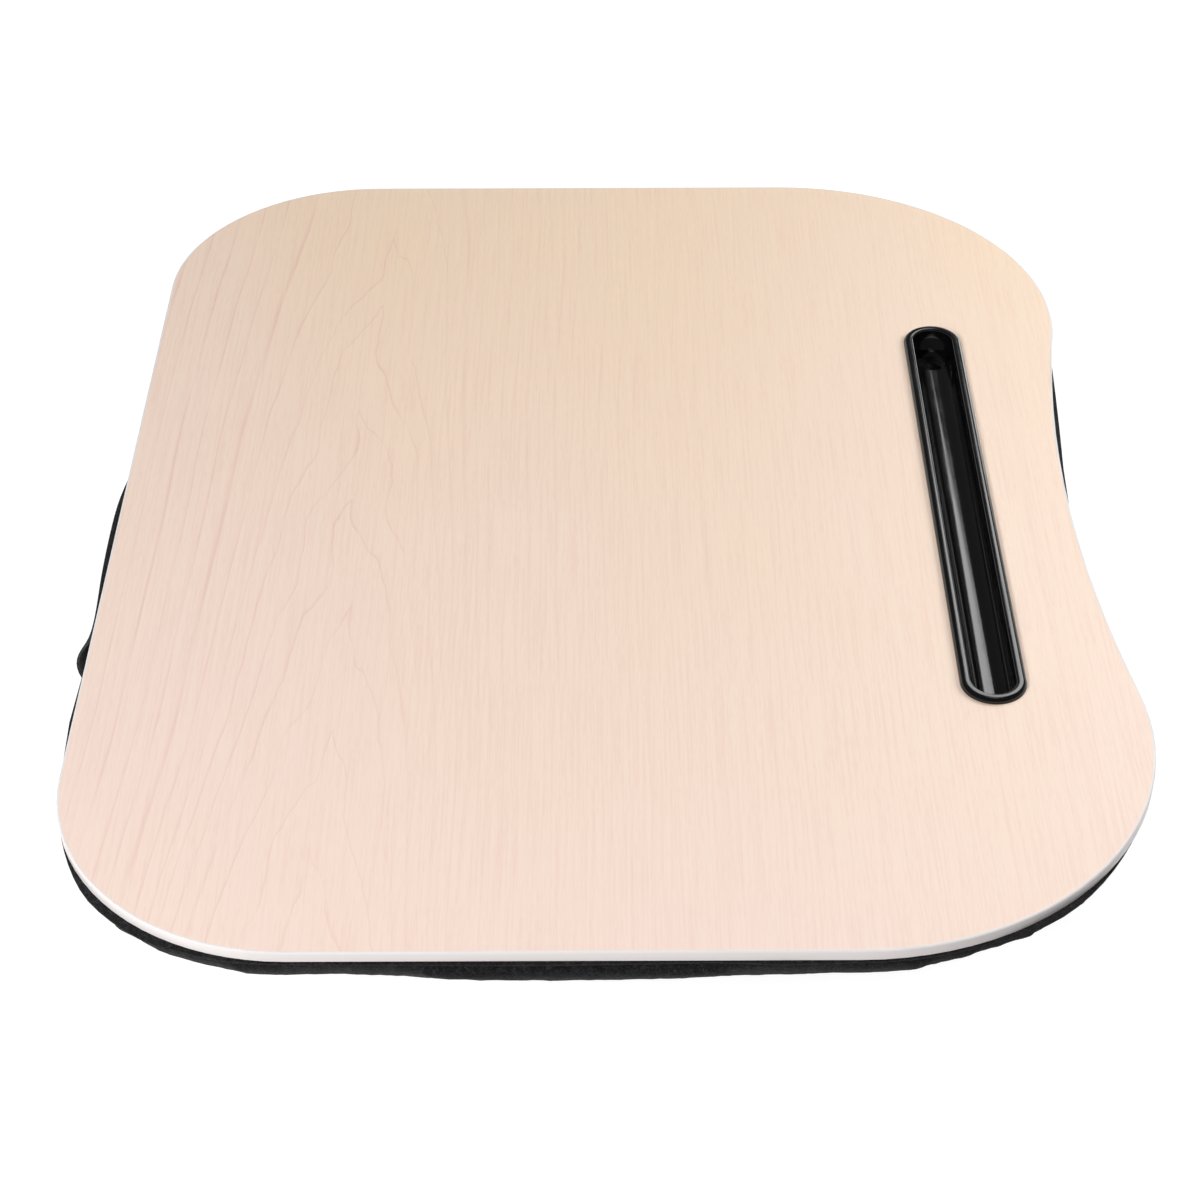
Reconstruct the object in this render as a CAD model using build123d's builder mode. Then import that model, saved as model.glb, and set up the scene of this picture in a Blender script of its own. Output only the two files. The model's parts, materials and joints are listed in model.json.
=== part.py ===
"""A lap tray: a thin laminated board with a pen tray pressed into it, on a soft felt cushion.

The frame: +Z is up and the cushion rests on Z = 0. +X points to the waisted long side, beside the pen
tray, and -X to the straight long side with the carry strap. The long sides run along Y.
"""
from build123d import *
import os
from math import asin, degrees, hypot

os.makedirs("parts", exist_ok=True)

# Board, mm
board_length = 440.0
board_width = 340.0
straight_corner_radius = 76.0
waisted_corner_radius = 99.0
waist_depth = 10.0
laminate_thickness = 0.4
core_thickness = 3.2
backing_thickness = 0.2
band_thickness = 0.8
band_bevel = 0.35

# Pen tray
tray_length = 222.0
tray_width = 21.5
tray_to_waist = 26.8
rim_width = 3.5
rim_height = 1.8
rim_outer_rounding = 1.2
rim_inner_rounding = 0.5
tray_wall = 1.2
trough_depth = 7.3
trough_rounding = 6.2
well_radius = 6.9
well_depth = 2.8
well_rounding = 4.4
well_to_end = 10.5
slot_clearance = 0.3

# Snap fit of the pen tray, on a skirt that passes through the board
skirt_drop = 1.9
clip_play = 0.1
clip_catch = 0.6
clip_length = 9.0
clip_pairs = 4
clip_distance = 48.0

# Cover and filling
top_panel_thickness = 1.2
under_panel_thickness = 1.6
clip_room = 0.8
cushion_depth = 45.0
crown_run = 85.0
flat_depth = 0.5
end_swell = 3.0
straight_side_swell = 4.0
cushion_waist_depth = 5.0
fill_clearance = 0.3

# Carry strap
strap_width = 15.0
strap_thickness = 2.0
strap_end_distance = 180.0
strap_sag = 22.0
strap_end_drop = 4.0
strap_tab_length = 14.0
strap_clearance = 0.3

# The cushion's profile at its corners, from the seam down to the floor: shares of the cushion's depth
# above the floor, and of the crown's run in from the edge of the board
profile_shares = [
    (1.000, 0.041),
    (0.900, 0.018),
    (0.780, 0.065),
    (0.580, 0.190),
    (0.340, 0.400),
    (0.120, 0.720),
    (0.000, 1.000),
]
# The crown would run on to this share below the flat that it rests on
lowest_inset_share = 1.14
# Corner arcs shrink by this share of a level's inset
corner_shrink_share = 0.5
# Outside the trough, bevels of this share of the roundings inside follow them
outer_bevel_share = 0.6

# Levels, from the floor up
seam_z = cushion_depth
board_under_z = seam_z + top_panel_thickness
core_under_z = board_under_z + backing_thickness
core_top_z = core_under_z + core_thickness
board_top_z = core_top_z + laminate_thickness
rim_top_z = board_top_z + rim_height
trough_floor_z = rim_top_z - trough_depth
well_floor_z = trough_floor_z - well_depth
skirt_under_z = board_under_z - skirt_drop

# Places and sizes that follow from the ones above
tray_x = board_width / 2 - waist_depth - tray_to_waist - tray_width / 2
trough_length = tray_length - 2 * rim_width
trough_width = tray_width - 2 * rim_width
skirt_length = trough_length + 2 * tray_wall
skirt_width = trough_width + 2 * tray_wall
slot_length = skirt_length + 2 * slot_clearance
slot_width = skirt_width + 2 * slot_clearance
clip_reach = slot_clearance + clip_catch
opening_length = skirt_length + 2 * (clip_reach + clip_room)
opening_width = skirt_width + 2 * (clip_reach + clip_room)
well_y = trough_length / 2 - well_to_end
seam_inset = profile_shares[0][1] * crown_run
widest_inset = min(inset_share for _, inset_share in profile_shares) * crown_run
strap_x = board_width / 2 - widest_inset + straight_side_swell + strap_clearance


def board_outline(inset=0):
    """Draw the board's edge: one straight long side, and one whose waist meets its corners smoothly."""
    edge_x = board_width / 2 - inset
    edge_y = board_length / 2 - inset
    straight_x = board_width / 2 - straight_corner_radius
    straight_y = board_length / 2 - straight_corner_radius
    waisted_x = board_width / 2 - waisted_corner_radius
    waisted_y = board_length / 2 - waisted_corner_radius
    # The waist's arc touches both corner arcs from outside, which sets its radius
    centre_distance = (waisted_y**2 / waist_depth + waist_depth) / 2
    waist_radius = centre_distance - waisted_corner_radius
    waist_x = board_width / 2 - waist_depth + waist_radius
    swing = degrees(asin(waisted_y / centre_distance))
    with BuildLine() as edge:
        CenterArc((-straight_x, straight_y), straight_corner_radius - inset, 90, 90)
        Line((-edge_x, straight_y), (-edge_x, -straight_y))
        CenterArc((-straight_x, -straight_y), straight_corner_radius - inset, 180, 90)
        Line((-straight_x, -edge_y), (waisted_x, -edge_y))
        CenterArc((waisted_x, -waisted_y), waisted_corner_radius - inset, -90, 90 + swing)
        CenterArc((waist_x, 0), waist_radius + inset, 180 + swing, -2 * swing)
        CenterArc((waisted_x, waisted_y), waisted_corner_radius - inset, -swing, 90 + swing)
        Line((waisted_x, edge_y), (-straight_x, edge_y))
    make_face(edge.edges())


def tray_slot(length, width, mode=Mode.ADD):
    """Draw a round-ended slot at the pen tray's place."""
    with Locations((tray_x, 0)):
        SlotOverall(length, width, rotation=90, mode=mode)


def trough_form(growth, top_z):
    """Make the trough with its finger well as one block up to top_z, grown by a wall or a clearance."""

    def soften(edges, rounding):
        if growth:
            chamfer(edges, outer_bevel_share * rounding)
        else:
            fillet(edges, rounding)

    with BuildPart() as form:
        with BuildSketch(Plane.XY.offset(trough_floor_z - growth)):
            tray_slot(trough_length + 2 * growth, trough_width + 2 * growth)
        extrude(amount=trough_depth + growth)
        soften(form.faces().sort_by(Axis.Z)[0].edges(), trough_rounding)
        with BuildSketch(Plane.XY.offset(well_floor_z - growth)):
            with Locations((tray_x, well_y)):
                Circle(well_radius + growth)
        extrude(amount=rim_top_z - well_floor_z + growth)
        soften(form.faces().sort_by(Axis.Z)[0].edges(), well_rounding)
        split(bisect_by=Plane.XY.offset(top_z), keep=Keep.BOTTOM)
    return form.part


def cushion_levels(drawn_in):
    """Give each level's height and inset, moved into the cushion square to its profile."""
    levels = [(height * cushion_depth, inset * crown_run) for height, inset in profile_shares]
    levels.append((-flat_depth, lowest_inset_share * crown_run))
    # The top level slides along the plane of the seam
    moved = [(seam_z, seam_inset + drawn_in)]
    for above, level, below in zip(levels, levels[1:], levels[2:] + levels[-1:]):
        fall = above[0] - below[0]
        run = below[1] - above[1]
        step = drawn_in / hypot(fall, run)
        moved.append((level[0] + step * run, level[1] + step * fall))
    return moved


def cushion_outline(inset):
    """Draw one level of the cushion: its sides swell between the corners, with a soft waist at +X."""
    half_x = board_width / 2 - inset
    half_y = board_length / 2 - inset
    left_radius = straight_corner_radius - corner_shrink_share * inset
    right_radius = waisted_corner_radius - corner_shrink_share * inset
    left_x = left_radius - half_x
    left_y = half_y - left_radius
    right_x = half_x - right_radius
    right_y = half_y - right_radius
    with BuildLine() as edge:
        CenterArc((left_x, left_y), left_radius, 90, 90)
        ThreePointArc((-half_x, left_y), (-half_x - straight_side_swell, 0), (-half_x, -left_y))
        CenterArc((left_x, -left_y), left_radius, 180, 90)
        ThreePointArc((left_x, -half_y), (0, -half_y - end_swell), (right_x, -half_y))
        CenterArc((right_x, -right_y), right_radius, 270, 90)
        ThreePointArc((half_x, -right_y), (half_x - cushion_waist_depth, 0), (half_x, right_y))
        CenterArc((right_x, right_y), right_radius, 0, 90)
        ThreePointArc((right_x, half_y), (0, half_y + end_swell), (left_x, half_y))
    make_face(edge.edges())


def cushion_form(drawn_in):
    """Loft the crowned cushion, moved inwards by a wall or a clearance, and cut it flat underneath."""
    with BuildPart() as form:
        for height, inset in cushion_levels(drawn_in):
            with BuildSketch(Plane.XY.offset(height)):
                cushion_outline(inset)
        loft(ruled=True)
        split(bisect_by=Plane.XY.offset(drawn_in), keep=Keep.TOP)
    return form.part


def strap_tabs(margin=0):
    """Make the strap's two sewn ends, which lie flat in the seam, with a margin for their notches."""
    tab_x = strap_x + strap_thickness - strap_tab_length / 2
    with BuildPart() as tabs:
        with Locations((-tab_x, -strap_end_distance / 2, seam_z), (-tab_x, strap_end_distance / 2, seam_z)):
            Box(
                strap_tab_length + 2 * margin,
                strap_width + 2 * margin,
                strap_thickness + margin,
                align=(Align.CENTER, Align.CENTER, Align.MAX),
            )
    return tabs.part


# Laminate: the printed sheet that is written on
with BuildPart() as top_laminate:
    with BuildSketch(Plane.XY.offset(core_top_z)):
        board_outline(band_thickness)
        tray_slot(slot_length, slot_width, mode=Mode.SUBTRACT)
    extrude(amount=laminate_thickness)

# Core: the fibreboard, with the slot that the pen tray is pressed into
with BuildPart() as board_core:
    with BuildSketch(Plane.XY.offset(core_under_z)):
        board_outline(band_thickness)
        tray_slot(slot_length, slot_width, mode=Mode.SUBTRACT)
    extrude(amount=core_thickness)

# Backing: the sheet that keeps the laminated board from warping
with BuildPart() as backing_sheet:
    with BuildSketch(Plane.XY.offset(board_under_z)):
        board_outline(band_thickness)
        tray_slot(slot_length, slot_width, mode=Mode.SUBTRACT)
    extrude(amount=backing_thickness)

# Band: the strip glued round the edge, with its two outer corners broken
with BuildPart() as edge_band:
    with BuildSketch(Plane.XY.offset(board_under_z)):
        board_outline()
        with BuildSketch(mode=Mode.SUBTRACT):
            board_outline(band_thickness)
    extrude(amount=board_top_z - board_under_z)
    for rim_face in edge_band.faces().filter_by(Plane.XY).sort_by(Axis.Z):
        chamfer(rim_face.outer_wire().edges(), band_bevel)

# Clips: wedges at both sides of the skirt, which catch under the board
with BuildPart() as clip_pair:
    with BuildSketch(Plane.XZ):
        with BuildLine():
            Polyline(
                (skirt_width / 2 - tray_wall / 2, board_under_z - clip_play),
                (skirt_width / 2 + clip_reach, board_under_z - clip_play),
                (skirt_width / 2, skirt_under_z),
                (skirt_width / 2 - tray_wall / 2, skirt_under_z),
                close=True,
            )
        make_face()
        mirror(about=Plane.YZ)
    extrude(amount=clip_length / 2, both=True)

# Pen tray: a raised rim on the board, a skirt through the slot, and the trough with its finger well
tray_outside = trough_form(tray_wall, rim_top_z - rim_outer_rounding)
tray_space = trough_form(0, rim_top_z)
with BuildPart() as pen_tray:
    with BuildSketch(Plane.XY.offset(board_top_z)):
        tray_slot(tray_length, tray_width)
    extrude(amount=rim_height)
    fillet(pen_tray.faces().sort_by(Axis.Z)[-1].edges(), rim_outer_rounding)
    with BuildSketch(Plane.XY.offset(skirt_under_z)):
        tray_slot(skirt_length, skirt_width)
        tray_slot(trough_length, trough_width, mode=Mode.SUBTRACT)
    extrude(amount=board_top_z - skirt_under_z)
    with Locations((tray_x, 0)):
        with GridLocations(0, clip_distance, 1, clip_pairs):
            add(clip_pair.part)
    add(tray_outside)
    add(tray_space, mode=Mode.SUBTRACT)
    fillet(pen_tray.faces().sort_by(Axis.Z)[-1].inner_wires()[0].edges(), rim_inner_rounding)

# Top panel: the flat felt under the board, open where the pen tray comes through
with BuildPart() as cover_top_panel:
    with BuildSketch(Plane.XY.offset(seam_z)):
        cushion_outline(seam_inset)
        tray_slot(opening_length, opening_width, mode=Mode.SUBTRACT)
    extrude(amount=top_panel_thickness)

# Under panel: the crowned felt shell, sewn to the top panel, with notches for the strap's ends
cushion_outside = cushion_form(0)
cushion_inside = cushion_form(under_panel_thickness)
with BuildPart() as cover_under_panel:
    add(cushion_outside)
    add(cushion_inside, mode=Mode.SUBTRACT)
    add(strap_tabs(strap_clearance), mode=Mode.SUBTRACT)

# Filling: it gives way round the pen tray and the strap's ends
fill_space = cushion_form(under_panel_thickness + fill_clearance)
trough_hollow = trough_form(tray_wall + fill_clearance, rim_top_z)
with BuildPart() as cushion_filling:
    add(fill_space)
    add(trough_hollow, mode=Mode.SUBTRACT)
    with BuildSketch(Plane.XY.offset(seam_z)):
        tray_slot(opening_length, opening_width)
    extrude(amount=skirt_under_z - fill_clearance - seam_z, mode=Mode.SUBTRACT)
    add(strap_tabs(strap_clearance), mode=Mode.SUBTRACT)

# Strap: a felt band that hangs beside the cushion, sewn into the seam at both ends
strap_end_z = seam_z - strap_end_drop
strap_radius = (strap_end_distance**2 / 4 + strap_sag**2) / (2 * strap_sag)
with BuildPart() as carry_strap:
    with BuildSketch(Plane.YZ.offset(-strap_x)):
        with Locations((0, strap_end_z - strap_sag + strap_radius)):
            Circle(strap_radius + strap_width / 2)
            Circle(strap_radius - strap_width / 2, mode=Mode.SUBTRACT)
        Rectangle(
            strap_end_distance + strap_width,
            seam_z,
            align=(Align.CENTER, Align.MIN),
            mode=Mode.INTERSECT,
        )
    extrude(amount=-strap_thickness)
    add(strap_tabs())

sub_parts = {
    "top_laminate": top_laminate,
    "board_core": board_core,
    "backing_sheet": backing_sheet,
    "edge_band": edge_band,
    "pen_tray": pen_tray,
    "cover_top_panel": cover_top_panel,
    "cover_under_panel": cover_under_panel,
    "cushion_filling": cushion_filling,
    "carry_strap": carry_strap,
}
for name, sub_part in sub_parts.items():
    sub_part.part.label = name
    export_step(sub_part.part, f"parts/{name}.step")
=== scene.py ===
"""The looks of a lap tray on a cushion: a wood-print board, white edging, a gloss pen tray and black felt."""

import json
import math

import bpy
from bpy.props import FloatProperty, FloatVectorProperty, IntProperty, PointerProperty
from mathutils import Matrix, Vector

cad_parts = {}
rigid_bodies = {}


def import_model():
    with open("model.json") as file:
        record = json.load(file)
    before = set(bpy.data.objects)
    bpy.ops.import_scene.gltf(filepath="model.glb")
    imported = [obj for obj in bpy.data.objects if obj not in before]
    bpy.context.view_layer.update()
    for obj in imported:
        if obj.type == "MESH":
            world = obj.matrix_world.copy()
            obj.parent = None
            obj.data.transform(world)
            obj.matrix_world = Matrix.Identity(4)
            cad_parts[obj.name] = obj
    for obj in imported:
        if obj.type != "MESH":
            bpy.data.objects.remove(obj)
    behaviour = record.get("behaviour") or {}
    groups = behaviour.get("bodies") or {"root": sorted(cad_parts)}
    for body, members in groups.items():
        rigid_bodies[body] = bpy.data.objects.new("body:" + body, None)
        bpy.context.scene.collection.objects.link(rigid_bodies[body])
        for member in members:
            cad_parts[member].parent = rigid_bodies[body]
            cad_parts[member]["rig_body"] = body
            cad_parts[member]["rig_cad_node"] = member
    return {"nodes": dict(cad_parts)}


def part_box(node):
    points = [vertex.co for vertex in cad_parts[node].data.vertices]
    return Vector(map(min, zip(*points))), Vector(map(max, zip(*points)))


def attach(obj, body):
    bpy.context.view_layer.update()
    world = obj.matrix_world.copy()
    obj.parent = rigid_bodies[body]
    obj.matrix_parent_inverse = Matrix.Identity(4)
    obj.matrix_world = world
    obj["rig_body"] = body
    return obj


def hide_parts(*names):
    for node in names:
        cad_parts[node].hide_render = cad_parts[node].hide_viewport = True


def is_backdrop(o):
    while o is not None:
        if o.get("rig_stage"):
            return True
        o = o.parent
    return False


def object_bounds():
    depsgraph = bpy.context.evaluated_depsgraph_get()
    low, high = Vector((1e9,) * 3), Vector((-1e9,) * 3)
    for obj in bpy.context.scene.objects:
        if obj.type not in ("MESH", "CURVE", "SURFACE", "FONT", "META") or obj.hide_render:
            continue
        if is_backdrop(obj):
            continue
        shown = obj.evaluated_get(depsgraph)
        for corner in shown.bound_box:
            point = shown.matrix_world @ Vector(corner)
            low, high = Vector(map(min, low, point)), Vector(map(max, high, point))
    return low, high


bl_info = {
    "name": "Lap tray with cushion",
    "version": (1, 0, 0),
    "blender": (4, 5, 0),
    "location": "View3D > Sidebar > Lap tray",
    "description": "Builds the looks of a lap tray with a pen tray and a felt cushion around its fixed frame",
    "category": "Object",
}

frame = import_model()
cad_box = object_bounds()

MM = 0.001

# Points closer than this are merged, and faces that meet at less than this angle are one flat face
WELD = 0.005 * MM
FLAT = math.radians(0.2)

# Share of an inner rounding by which the pen tray's outside is bevelled
BEVEL_SHARE = 0.6

# Frames of the cushion's simulation, rounds of smoothing after it, and how much cloth the seam holds
FRAMES = 20
SMOOTHING = 14
HELD_SEAM = 2.5 * MM
# From the floor to the felt that rests on it, and from the middle to the cushion's rounded corners
FLOOR_GAP = 0.3 * MM
CORNER_REACH = 235 * MM
# Where the filling has settled: degrees round the middle from +X, and how far the side stands out in mm
SETTLED = (
    (-180, 0.4), (-157, 1.4), (-150, 3.8), (-145, 5.0), (-141, 5.7), (-134, 4.8), (-128, 6.7), (-123, 6.7),
    (-119, 5.0), (-113, 3.8), (-103, 1.8), (-94, 1.1), (-84, 0.8), (-74, 4.2), (-64, 4.3), (-57, 6.2),
    (-48, 5.0), (-43, 5.2), (-38, 5.2), (-28, 1.6), (-10, -0.6), (2, -0.6), (10, 0.8), (20, 3.0),
    (28, 3.6), (36, 2.4), (44, 1.0), (60, 0.3), (180, 0.4),
)

# The studio's round floor in metres: its radius, the border that carries its wall, and the wall
FLOOR_RADIUS = 9
FLOOR_BORDER = 0.02
WALL_HEIGHT = 2.3

# Kinds of socket on a node group
FLOAT = "NodeSocketFloat"
VECTOR = "NodeSocketVector"
COLOR = "NodeSocketColor"

# Places that the frame gives
board_low, board_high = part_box("edge_band")
board_top = board_high.z
board_under = board_low.z
tray_low, tray_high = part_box("pen_tray")
tray_centre = (tray_low + tray_high) / 2
cover_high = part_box("cover_under_panel")[1]
filling_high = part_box("cushion_filling")[1]
seam_height = cover_high.z
strap_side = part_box("carry_strap")[0].x


def length(name, description, default):
    """Make a size property from a size in millimetres."""
    return FloatProperty(name=name, description=description, default=default * MM, unit="LENGTH", precision=5)


def angle(name, description, default):
    """Make an angle property from an angle in degrees."""
    return FloatProperty(name=name, description=description, default=math.radians(default), subtype="ANGLE")


def amount(name, description, default):
    """Make a property for a power or a strength."""
    return FloatProperty(name=name, description=description, default=default, min=0)


def count(name, description, default, least=1):
    """Make a property for a number of steps or pieces."""
    return IntProperty(name=name, description=description, default=default, min=least)


def display_colour(*levels):
    """Turn the three levels of a colour on screen, 0 to 255, into linear light."""
    shares = [level / 255 for level in levels]
    return [share / 12.92 if share <= 0.04045 else ((share + 0.055) / 1.055) ** 2.4 for share in shares]


def colour(name, description, *levels):
    """Make a colour property from the levels that it shows on screen."""
    light = display_colour(*levels)
    return FloatVectorProperty(name=name, description=description, default=light, subtype="COLOR", max=1)


class LapTrayEdging(bpy.types.PropertyGroup):
    """The white edging's sizes."""

    rounding: length("Rounding", "Width of the softened corners", 0.14)


class LapTrayPenTray(bpy.types.PropertyGroup):
    """The pen tray's sizes."""

    rim_width: length("Rim width", "Width of the raised rim", 3.5)
    outer_rounding: length("Outer rounding", "Radius of the rim's outer shoulder", 1.65)
    inner_rounding: length("Inner rounding", "Radius of the rim's inner edge", 0.8)
    trough_depth: length("Trough depth", "From the rim's top to the trough's floor", 7.3)
    trough_rounding: length("Trough rounding", "Radius between the trough's walls and its floor", 6.4)
    wall: length("Wall", "Thickness of the moulded wall", 1.2)
    well_radius: length("Well radius", "Radius of the finger well", 6.9)
    well_depth: length("Well depth", "Depth of the finger well below the trough's floor", 2.8)
    well_rounding: length("Well rounding", "Radius at the bottom of the finger well", 4.4)
    well_to_end: length("Well to end", "From the trough's far end to the middle of the well", 10.5)
    clips_a_side: count("Clips a side", "Clips along each side", 4)
    clip_width: length("Clip width", "Width of a clip along the tray", 9.0)
    clip_distance: length("Clip distance", "Distance from clip to clip", 48.0)
    clip_reach: length("Clip reach", "How far a clip stands out from the skirt", 0.9)
    clip_play: length("Clip play", "From the board's underside to a clip", 0.1)
    turn_steps: count("Turn steps", "Facets round each end", 96, least=16)


class LapTrayCushion(bpy.types.PropertyGroup):
    """The cushion's sizes."""

    voxel: length("Voxel", "Grid that the cover is simulated on", 4.5)
    most_swell: length("Most swell", "How far the simulation may move a point", 4.5)
    pressure: amount("Pressure", "Pressure of the filling", 4.0)
    lump_width: length("Lump width", "Width of the lumps of matted felt", 7.0)
    tuft_width: length("Tuft width", "Width of the tufts on the lumps", 2.6)
    lump_height: length("Lump height", "Height of the lumps and of the tufts", 0.5)
    panel_rounding: length("Panel rounding", "Width of the glued panel's softened edge", 0.35)
    stitch_length: length("Stitch length", "Length of one stitch", 2.6)
    stitch_pitch: length("Stitch pitch", "Distance from stitch to stitch", 4.2)
    stitch_thickness: length("Stitch thickness", "Thickness of the thread", 0.55)
    stitch_depth: length("Stitch depth", "From the board down to the row of stitches", 1.4)


class LapTrayStrap(bpy.types.PropertyGroup):
    """The carry strap's sizes."""

    width: length("Width", "Width of the felt band", 15.0)
    thickness: length("Thickness", "Thickness of the felt band", 2.0)
    rounding: length("Rounding", "Width of the band's softened edges", 0.5)
    end_distance: length("End distance", "Distance between the middles of its two sewn ends", 180.0)


class LapTrayColours(bpy.types.PropertyGroup):
    """The colours of the finishes."""

    wood_pink: colour("Pink wood", "Pinkish ground of the wood print", 242, 220, 207)
    wood_cream: colour("Cream wood", "Creamy ground of the wood print", 243, 219, 192)
    wood_grain: colour("Grain", "Lines of the wood print", 220, 174, 166)
    band: colour("Edging", "White edging strip", 232, 226, 224)
    plastic: colour("Pen tray", "Black moulded plastic", 9, 9, 10)
    felt: colour("Felt", "Black felt", 11, 11, 12)
    felt_fluff: colour("Felt fluff", "Pale fibres on the felt", 67, 65, 70)
    floor: colour("Floor", "Studio floor", 150, 150, 150)


class LapTrayStudio(bpy.types.PropertyGroup):
    """The camera and the lights."""

    lens: FloatProperty(name="Lens", description="Focal length on a 36 mm sensor", default=82.25, min=1)
    pitch: angle("Pitch", "Camera's tilt below the horizon", 37.985)
    roll: angle("Roll", "Camera's turn about its view", -0.191)
    camera_x: length("Camera X", "Camera's place across the tray", -3.4)
    camera_y: length("Camera Y", "Camera's place along the tray", -775.6)
    camera_height: length("Camera height", "Camera's height above the board", 561.6)
    key: amount("Key", "Watts of the softbox at the front left", 22.2)
    side: amount("Side", "Watts of the softbox at the right", 8.2)
    back: amount("Back", "Watts of the softbox behind", 5.5)
    low: amount("Low", "Watts of the low softbox behind", 4.2)
    top: amount("Top", "Watts of the small softbox above", 1.0)
    fill: amount("Fill", "Strength of the light from all round", 0.11)
    glow: amount("Glow", "How much the floor is lifted to white", 0.86)


def deselect_all():
    """Leave edit mode and select nothing."""
    if bpy.context.object is not None and bpy.context.object.mode != "OBJECT":
        bpy.ops.object.mode_set(mode="OBJECT")
    bpy.ops.object.select_all(action="DESELECT")


def rename(piece, name):
    """Name a piece and its mesh alike."""
    piece.name = name
    piece.data.name = name
    return piece


def name_new(name):
    """Name the object that an operator has just added."""
    return rename(bpy.context.active_object, name)


def make_active(*pieces):
    """Select these pieces and make the first one active."""
    deselect_all()
    for piece in pieces:
        piece.select_set(True)
    bpy.context.view_layer.objects.active = pieces[0]


def edit(piece):
    """Open a piece in edit mode with all of it selected."""
    make_active(piece)
    bpy.ops.object.mode_set(mode="EDIT")
    bpy.ops.mesh.select_mode(type="VERT")
    bpy.ops.mesh.select_all(action="SELECT")


def edit_all(piece, operator, **settings):
    """Run one of the edit mode operators on all of a piece."""
    edit(piece)
    operator(**settings)
    bpy.ops.object.mode_set(mode="OBJECT")


def move_where(piece, test, shift):
    """Move the points of a piece that pass a test of their place."""
    edit_all(piece, bpy.ops.mesh.select_all, action="DESELECT")
    for vertex in piece.data.vertices:
        vertex.select = test(vertex.co)
    bpy.ops.object.mode_set(mode="EDIT")
    bpy.ops.transform.translate(value=shift)
    bpy.ops.object.mode_set(mode="OBJECT")


def apply_modifier(piece, kind, **settings):
    """Add a modifier with these settings and apply it."""
    modifier = piece.modifiers.new(kind, kind)
    for key, value in settings.items():
        setattr(modifier, key, value)
    make_active(piece)
    bpy.ops.object.modifier_apply(modifier=modifier.name)


def soften(piece, width, sharpest):
    """Round the edges that turn by more than an angle in degrees."""
    limit = math.radians(sharpest)
    apply_modifier(piece, "BEVEL", width=width, segments=2, limit_method="ANGLE", angle_limit=limit)


def cut_with(piece, tool, operation):
    """Join or cut a piece with another one, which is used up."""
    apply_modifier(piece, "BOOLEAN", operation=operation, solver="EXACT", object=tool)
    bpy.data.objects.remove(tool)


def join(*pieces):
    """Join pieces into the first one."""
    make_active(*pieces)
    bpy.ops.object.join()
    return pieces[0]


def copy_node(node, name):
    """Copy a CAD node as a new piece, with its loose triangles merged into a closed mesh."""
    piece = frame["nodes"][node].copy()
    piece.data = piece.data.copy()
    piece.parent = None
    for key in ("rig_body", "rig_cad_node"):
        del piece[key]
    bpy.context.scene.collection.objects.link(piece)
    rename(piece, name)
    piece.data.materials.clear()
    edit_all(piece, bpy.ops.mesh.remove_doubles, threshold=WELD)
    return piece


def arc(centre, radius, start, end, steps):
    """List the points of an arc, from one angle to another in degrees."""
    angles = [math.radians(start + (end - start) * step / steps) for step in range(steps + 1)]
    return [(centre[0] + radius * math.cos(turn), centre[1] + radius * math.sin(turn)) for turn in angles]


def turned_body(name, centre, profile, steps):
    """Spin a profile of radius and height points round an upright axis, which its two ends lie on."""
    half_step = math.pi / steps
    outwards = Vector((math.cos(half_step), math.sin(half_step), 0))
    foot = Vector((centre.x, centre.y, 0))
    points = [foot + outwards * radius + Vector((0, 0, height)) for radius, height in profile]
    deselect_all()
    bpy.ops.mesh.primitive_plane_add(size=MM, location=(0, 0, 0))
    piece = name_new(name)
    edit(piece)
    bpy.ops.mesh.merge(type="CENTER")
    bpy.ops.transform.translate(value=points[0])
    for here, there in zip(points, points[1:]):
        bpy.ops.mesh.extrude_region_move(TRANSFORM_OT_translate={"value": there - here})
    bpy.ops.mesh.select_all(action="SELECT")
    bpy.ops.mesh.spin(steps=steps, angle=math.tau, center=foot, axis=(0, 0, 1))
    bpy.ops.mesh.select_all(action="SELECT")
    bpy.ops.mesh.remove_doubles(threshold=WELD)
    bpy.ops.mesh.normals_make_consistent(inside=False)
    bpy.ops.object.mode_set(mode="OBJECT")
    return piece


def finish_piece(piece, material, slot, *nodes, smooth=30):
    """Give a piece its material, its shading up to an angle in degrees and its place in the frame."""
    piece.data.materials.clear()
    piece.data.materials.append(material)
    make_active(piece)
    bpy.ops.object.shade_smooth_by_angle(angle=math.radians(smooth))
    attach(piece, "root")
    if nodes:
        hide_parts(*nodes)


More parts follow.
